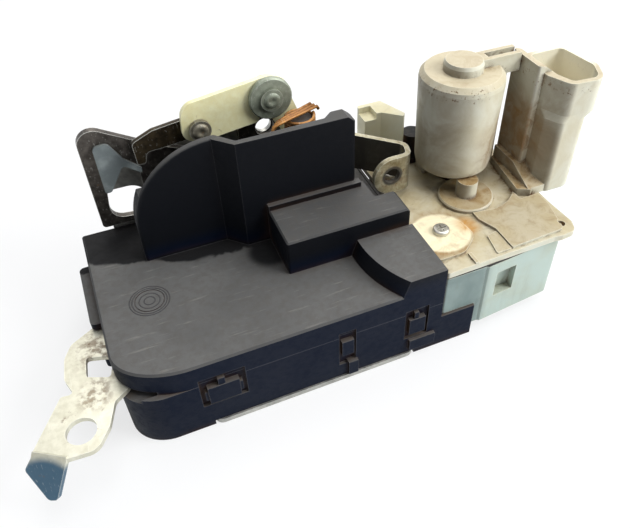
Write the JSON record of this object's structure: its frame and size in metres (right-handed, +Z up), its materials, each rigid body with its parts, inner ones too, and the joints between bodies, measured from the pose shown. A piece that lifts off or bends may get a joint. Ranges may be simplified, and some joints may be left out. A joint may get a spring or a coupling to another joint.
{
  "type": "door latch actuator",
  "caption": "Side door latch with hook claw, release lever and a cream electric lock actuator on its right-hand end.",
  "frame": {"origin": "middle of the steel base plate's underside, below the black case", "axes": "+X along the case towards the actuator, +Y from the case front to the steel shut face, +Z up"},
  "size_m": [0.2276, 0.0967, 0.092],
  "materials": {
    "black_plastic": "moulded, worn",
    "cream_plastic": "moulded, aged",
    "pale_zinc": "zinc plated",
    "yellow_zinc": "yellow passivated",
    "dark_steel": "dark phosphated",
    "grey_jacket": "moulded jacket",
    "rivet_steel": "grey green zinc",
    "spring_steel": "oiled",
    "white_plastic": "moulded",
    "rubber": "soft",
    "brass": "plain"
  },
  "bodies": {
    "frame_body": {"latch_plate": "pale_zinc", "linkage_bracket": "dark_steel", "eye_bracket": "pale_zinc", "upper_cover": "black_plastic", "lower_case": "black_plastic", "case_rivets": "rivet_steel", "striker_buffer": "rubber", "claw_pin": "rivet_steel", "claw_spring": "spring_steel", "pawl_pin": "rivet_steel", "pawl_spring": "spring_steel", "release_pin": "rivet_steel", "release_spring": "spring_steel", "crank_disc": "rivet_steel", "crank_pin": "rivet_steel", "crank_spring": "spring_steel", "actuator_housing": "cream_plastic", "actuator_lower_cover": "cream_plastic", "housing_seal": "rubber", "actuator_screws": "pale_zinc", "gear_cap": "cream_plastic", "gear_axle": "pale_zinc", "motor_can": "pale_zinc", "motor_end_cap": "black_plastic", "connector_shroud": "cream_plastic", "connector_terminals": "brass", "rear_block": "white_plastic", "rear_plug": "black_plastic"},
    "release_lever_body": {"release_lever": "pale_zinc"},
    "release_slide_body": {"release_slide": "pale_zinc"},
    "pawl_body": {"pawl": "dark_steel"},
    "claw_body": {"claw": "dark_steel", "claw_overmould": "grey_jacket"},
    "drive_gear_body": {"drive_gear": "white_plastic"},
    "motor_rotor_body": {"motor_rotor": "dark_steel", "motor_pinion": "brass"},
    "lock_slide_body": {"lock_slide": "white_plastic"},
    "lock_crank_body": {"lock_crank": "yellow_zinc"},
    "lock_link_body": {"lock_link": "dark_steel", "link_rivet": "rivet_steel"}
  },
  "joints": [
    {"name": "release_lever_turn", "type": "hinge", "parent": "frame_body", "child": "release_lever_body", "pos_m": [-0.05, 0.006, 0.0236], "axis": [0, 0, -1], "range_deg": [0, 15], "stiffness_Nm_per_rad": 0.1},
    {"name": "release_slide_move", "type": "slide", "parent": "frame_body", "child": "release_slide_body", "axis": [1, 0, 0], "range_m": [0, 0.0066]},
    {"name": "pawl_turn", "type": "hinge", "parent": "frame_body", "child": "pawl_body", "pos_m": [0.008, 0.0375, 0.01], "axis": [0, 1, 0], "range_deg": [0, 19.89]},
    {"name": "claw_turn", "type": "hinge", "parent": "frame_body", "child": "claw_body", "pos_m": [-0.01, 0.0375, 0.049], "axis": [0, 1, 0], "range_deg": [0, 30]},
    {"name": "drive_gear_turn", "type": "hinge", "parent": "frame_body", "child": "drive_gear_body", "pos_m": [0.0877, -0.0037, 0.03], "axis": [0, 0, 1], "range_deg": [0, 90]},
    {"name": "motor_turn", "type": "hinge", "parent": "frame_body", "child": "motor_rotor_body", "pos_m": [0.08901, 0.01124, 0.06], "axis": [0, 0, 1], "range_deg": [-360, 0]},
    {"name": "lock_slide_move", "type": "slide", "parent": "frame_body", "child": "lock_slide_body", "axis": [-1, 0, 0], "range_m": [0, 0.00942]},
    {"name": "lock_crank_turn", "type": "hinge", "parent": "frame_body", "child": "lock_crank_body", "pos_m": [0.0185, 0.0275, 0.084], "axis": [0, 1, 0], "range_deg": [0, 23.6]},
    {"name": "lock_link_turn", "type": "hinge", "parent": "lock_crank_body", "child": "lock_link_body", "pos_m": [-0.008, 0.0285, 0.0775], "axis": [0, 1, 0], "range_deg": [-23.6, 0]}
  ],
  "couplings": [
    {"joint": "release_slide_move", "follows": "release_lever_turn", "m_per_rad": 0.0252},
    {"joint": "pawl_turn", "follows": "release_lever_turn", "ratio": 1.326},
    {"joint": "claw_turn", "follows": "release_lever_turn", "ratio": 2},
    {"joint": "motor_turn", "follows": "drive_gear_turn", "ratio": -4},
    {"joint": "lock_slide_move", "follows": "drive_gear_turn", "m_per_rad": 0.006},
    {"joint": "lock_crank_turn", "follows": "drive_gear_turn", "ratio": 0.26222},
    {"joint": "lock_link_turn", "follows": "drive_gear_turn", "ratio": -0.26222}
  ]
}
